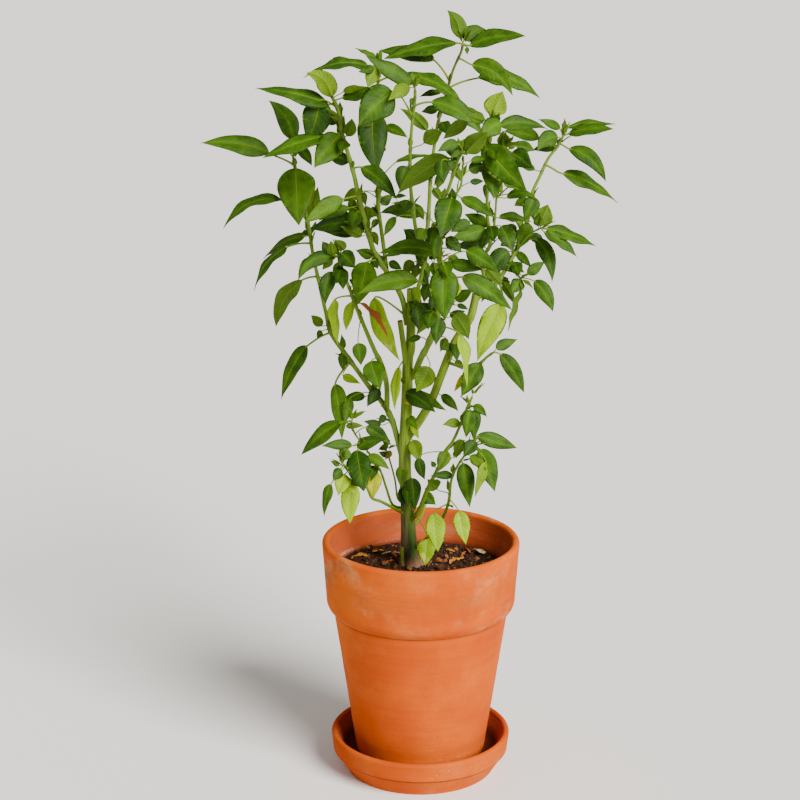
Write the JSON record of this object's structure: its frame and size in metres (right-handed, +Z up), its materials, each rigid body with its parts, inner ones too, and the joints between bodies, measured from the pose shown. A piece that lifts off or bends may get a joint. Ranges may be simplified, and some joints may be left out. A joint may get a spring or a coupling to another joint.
{
  "type": "potted chilli pepper plant",
  "caption": "Pruned chilli pepper plant with a woody trunk and leafy stems, growing in soil in a round terracotta pot that stands on its saucer.",
  "frame": {"origin": "centre of the saucer's foot, on the surface that it stands on", "axes": "+Z up along the pot's axis; +X to the right and +Y away for someone facing the plant's broad side; the trunk grows just behind the pot's axis"},
  "size_m": [0.4193, 0.2692, 0.7659],
  "materials": {
    "terracotta": "unglazed orange fired clay, matte, with pale lime bloom",
    "soil": "dark crumbly potting soil with bits of bark",
    "trunk": "ridged green-brown young bark",
    "leaf": "glossy deep green leaf with a pale midrib",
    "pale_leaf": "yellowing leaf, satin"
  },
  "bodies": {
    "root": {"saucer": "terracotta", "pot": "terracotta", "soil": "soil", "trunk": "trunk", "stem_far_left": "leaf", "stem_left_front": "leaf", "stem_left_middle": "leaf", "stem_middle_back": "leaf", "stem_middle": "leaf", "stem_tallest": "leaf", "stem_front": "leaf", "stem_right_front": "leaf", "stem_far_right": "leaf", "shoot_left_low": "leaf", "shoot_left_middle": "leaf", "shoot_right_low": "leaf", "shoot_right_back": "leaf", "shoot_left_small": "pale_leaf", "shoot_right_pale": "pale_leaf"}
  },
  "joints": []
}
